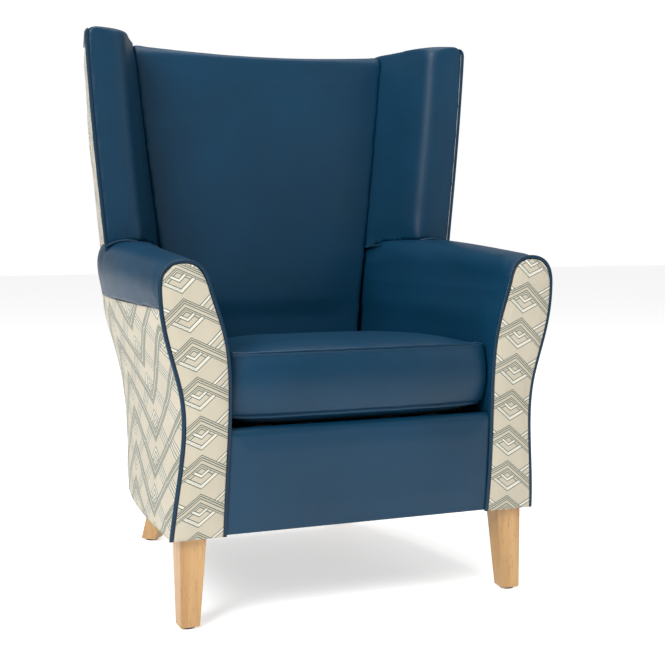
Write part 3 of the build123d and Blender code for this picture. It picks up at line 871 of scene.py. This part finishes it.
def keep_in_space(obj):
    """Keeps the stuffed cushion clear of the arms, the back and the seat under it."""
    points = positions(obj)
    free_of_arm = 1 - smoothstep((points[:, 1] - CUSHION_LOW[1] - 0.002) / 0.012)
    limit = cushion_half_width(points[:, 1]) + 0.0020 + 0.004 * free_of_arm
    points[:, 0] = np.clip(points[:, 0], -limit, limit)
    points[:, 1] = np.clip(points[:, 1], CUSHION_LOW[1] - 0.012, CUSHION_HIGH[1] - 0.001)
    height = cushion_height(points)
    overhang = 1 - smoothstep((points[:, 1] - CUSHION_LOW[1] - 0.045) / 0.03)
    points[:, 2] += np.maximum(0.0006 - 0.0070 * overhang - height, 0)
    points[:, 2] -= np.maximum(height - CUSHION_THICK - 0.017, 0)
    move_to(obj, points)


def sew(obj, height, side, depth=0.0052, lip=0.0026):
    """A closed seam at a height: a groove, and a rolled lip on one side of it."""
    points = positions(obj)
    distance = seam_distance(points, seam_tree(height))
    signed = distance * np.sign(cushion_height(points) - height) * side
    groove = depth * np.exp(-((distance / 0.0021) ** 2))
    rolled = lip * np.exp(-(((signed - 0.0045) / 0.0022) ** 2))
    move_to(obj, points + normals(obj) * (rolled - groove)[:, None])
    return distance


def corner_ears(obj):
    """The top front corners, where three panels meet, stand out a little."""
    points = positions(obj)
    for sign in (-1, 1):
        corner = cushion_point(np.array(sign * 0.985), np.array(-0.985), CUSHION_TOP_SEAM)
        near = np.exp(-((np.linalg.norm(points - corner, axis=1) / 0.014) ** 2))
        points += near[:, None] * np.array([0.0006 * sign, -0.0035, 0.0030])
    move_to(obj, points)


def build_cushion():
    count = 96
    obj, seam_vertices = cushion_mesh("seat_cushion", count, border_rows=count // 4)
    pinned = np.zeros(len(obj.data.vertices), dtype=bool)
    pinned[seam_vertices] = True
    inflate(obj, pinned, pressure=4.0, cap=0.004)
    subdivide(obj)
    near_top = sew(obj, CUSHION_TOP_SEAM, side=-1)
    near_bottom = sew(obj, CUSHION_BOTTOM_SEAM, side=-1)
    corner_ears(obj)
    pull_wrinkles(obj, np.minimum(near_top, near_bottom), height=0.0005, spacing=0.04, reach=0.02, seed=11)
    keep_in_space(obj)
    finish_piece(obj, blue_vinyl, "cushion", ["seat_cushion_cover"])

    core, _ = cushion_mesh("cushion_foam", 24, border_rows=6)
    centre = (CUSHION_LOW + CUSHION_HIGH) / 2
    move_to(core, centre + (positions(core) - centre) * np.array([0.96, 0.95, 0.88]))
    finish_piece(core, foam, "cushion", ["seat_cushion_foam"])


# ---------------------------------------------------------------------------------------------
# CAD nodes that stay, with better materials


STAYING = {
    beech: ["left_front_leg", "right_front_leg", "left_rear_leg", "right_rear_leg"],
    frame_timber: [
        f"{side}_{part}"
        for side, _ in SIDES
        for part in ("front_post", "back_post", "arm_rail", "side_seat_rail", "wing_frame")
    ] + ["front_seat_rail", "rear_seat_rail", "back_lower_rail", "back_top_rail", "corner_blocks"],
    steel: ["seat_springs", "spring_clips", "leg_bolts", "leg_inserts"],
    dust_cloth: ["dust_cover"],
    webbing: ["back_webbing"],
    felt: ["seat_platform"],
    glide_plastic: ["leg_glides"],
    piping_vinyl: [
        f"{side}_{part}" for side, _ in SIDES for part in ("facing_piping", "wing_seam_piping")
    ],
}
for material, nodes in STAYING.items():
    for node in nodes:
        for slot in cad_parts[node].material_slots:
            slot.material = material


# ---------------------------------------------------------------------------------------------
# Upholstery


def blue_cover(obj, node):
    finish_piece(obj, blue_vinyl, "chair", [node])


def woven_cover(obj, node, fabric):
    finish_piece(obj, fabric, "chair", [node])


def cover_arm(side):
    node = f"{side}_arm_pad"
    arm = remeshed(node, f"arm_cover_{side}", rounds=3)
    distance = seam_distance(positions(arm), sharp_edge_tree(node))
    pad_out(arm, distance, rise=0.0035, reach=0.05, tuck=-0.0010, tuck_reach=0.006)
    hug(arm, f"{side}_facing_piping")
    blue_cover(arm, node)


def cover_wing(side, sign):
    node = f"{side}_wing_pad"
    wing = remeshed(node, f"wing_cover_{side}", rounds=5)
    end_at_seam(wing)
    distance = seam_distance(positions(wing), sharp_edge_tree(node))
    pad_out(wing, distance, rise=0.003, reach=0.05, tuck=-0.0010, tuck_reach=0.006)
    soften(wing, wing_front_edge(positions(wing), sign), rounds=70)
    hug(wing, f"{side}_wing_piping", reach=0.012)
    round_wing_top(wing, sign)
    blue_cover(wing, node)


def cover_wing_piping(side, sign):
    node = f"{side}_wing_piping"
    piping = copied(node, f"wing_piping_cover_{side}")
    round_wing_top(piping, sign)
    finish_piece(piping, piping_vinyl, "chair", [node])


def cover_facing(side):
    node = f"{side}_arm_facing"
    facing = panel(
        node, f"facing_cover_{side}", along=2, across=0, out_axis=1, sign=-1,
        rows=110, columns=26, puff=0.0025, reach=0.02, thickness=0.006, ease_top=True,
    )
    woven_cover(facing, node, facing_fabric[side])


def cover_outside_arm(side, sign):
    node = f"{side}_outside_arm_panel"
    outside_arm = panel(
        node, f"outside_arm_cover_{side}", along=2, across=1, out_axis=0, sign=sign,
        rows=60, columns=90, puff=0.003, reach=0.04, thickness=0.003,
    )
    woven_cover(outside_arm, node, side_fabric[side])


def cover_outside_wing(side, sign):
    node = f"{side}_outside_wing_panel"
    outside_wing = panel(
        node, f"outside_wing_cover_{side}", along=1, across=2, out_axis=0, sign=sign,
        rows=60, columns=90, puff=0.004, reach=0.03, thickness=0.003, trim=0.007,
    )
    round_wing_top(outside_wing, sign)
    woven_cover(outside_wing, node, side_fabric[side])


def cover_inside_back():
    back = remeshed("inside_back", "inside_back_cover", rounds=5)
    distance = seam_distance(positions(back), sharp_edge_tree("inside_back"))
    pad_out(back, distance, rise=0.006, reach=0.12, tuck=0.001, tuck_reach=0.004)
    blue_cover(back, "inside_back")


def cover_front_border():
    border = panel(
        "front_border", "front_border_cover", along=2, across=0, out_axis=1, sign=-1,
        rows=60, columns=120, puff=0.004, reach=0.05, thickness=0.010,
    )
    blue_cover(border, "front_border")


def meet_sides(obj):
    """Widens the outside back at both sides, most at the bottom, so that it meets the side panels."""
    points = positions(obj)
    x, z = points[:, 0], points[:, 2]
    widening = 0.0055 - 0.004 * (z - 0.16)
    points[:, 0] += np.sign(x) * smoothstep(np.abs(x) / 0.20) * widening
    move_to(obj, points)


def cover_outside_back():
    outside_back = panel(
        "outside_back", "outside_back_cover", along=2, across=0, out_axis=1, sign=1,
        rows=110, columns=80, puff=0.003, reach=0.05, thickness=0.003,
    )
    meet_sides(outside_back)
    woven_cover(outside_back, "outside_back", back_fabric)


for side, sign in SIDES:
    cover_arm(side)
    cover_wing(side, sign)
    cover_wing_piping(side, sign)
    cover_facing(side)
    cover_outside_arm(side, sign)
    cover_outside_wing(side, sign)
cover_inside_back()
cover_front_border()
cover_outside_back()
build_cushion()


# ---------------------------------------------------------------------------------------------
# Floor, light and camera


FLOOR_HALF = 14.0


def build_floor():
    corners = [(x * FLOOR_HALF, y * FLOOR_HALF, 0) for x, y in ((-1, -1), (1, -1), (1, 1), (-1, 1))]
    floor = new_piece("floor", corners, [[0, 1, 2, 3]])
    m = Material("floor")
    tone = m.noise(1.2, detail=2.0)
    m.colour(m.mix(tone, (0.88, 0.88, 0.88), (0.92, 0.92, 0.92)))
    m.roughness(tone * 0.1 + 0.6)
    m.shader.inputs["Emission Color"].default_value = (1.0, 1.0, 1.0, 1.0)
    floor.data.materials.append(m.set(Specular_IOR_Level=0.2, Emission_Strength=0.55))


def area_light(name, place, target, size, power):
    data = bpy.data.lights.new(name, "AREA")
    data.shape = "RECTANGLE"
    data.size, data.size_y = size
    data.energy = power
    light = bpy.data.objects.new(name, data)
    light.location = place
    light.rotation_euler = (Vector(target) - Vector(place)).to_track_quat("-Z", "Y").to_euler()
    bpy.context.scene.collection.objects.link(light)


WORLD_LIGHT = 0.40      # the studio's soft light from all round; its backdrop shows as white


def build_lights():
    bpy.context.scene.view_settings.view_transform = "Standard"
    world = bpy.data.worlds.new("studio")
    world.use_nodes = True
    background = world.node_tree.nodes["Background"]
    background.inputs["Color"].default_value = (1.0, 1.0, 1.0, 1.0)
    seen = Value(world.node_tree, world.node_tree.nodes.new("ShaderNodeLightPath").outputs["Is Camera Ray"])
    strength = seen * (1.0 - WORLD_LIGHT) + WORLD_LIGHT
    world.node_tree.links.new(strength.socket, background.inputs["Strength"])
    bpy.context.scene.world = world
    area_light("key", (-2.6, -2.2, 3.0), (0, 0, 0.6), (1.8, 1.8), 170)
    area_light("fill", (3.2, -2.4, 2.2), (0, 0, 0.5), (2.4, 2.4), 22)
    area_light("top", (0.0, 0.0, 3.6), (0, 0, 0.5), (2.6, 2.6), 85)


def build_camera():
    """Fitted to the picture's perspective: azimuth -22.4 degrees, 5.1 degrees above the chair's middle."""
    data = bpy.data.cameras.new("camera")
    data.lens = 68.26
    data.sensor_width = 36.0
    camera = bpy.data.objects.new("camera", data)
    camera.location = (-0.8987, -2.3620, 0.7048)
    target = Vector((0.0733, 0.0, 0.4773))
    camera.rotation_euler = (target - camera.location).to_track_quat("-Z", "Y").to_euler()
    bpy.context.scene.collection.objects.link(camera)
    bpy.context.scene.camera = camera


build_floor()
build_lights()
build_camera()
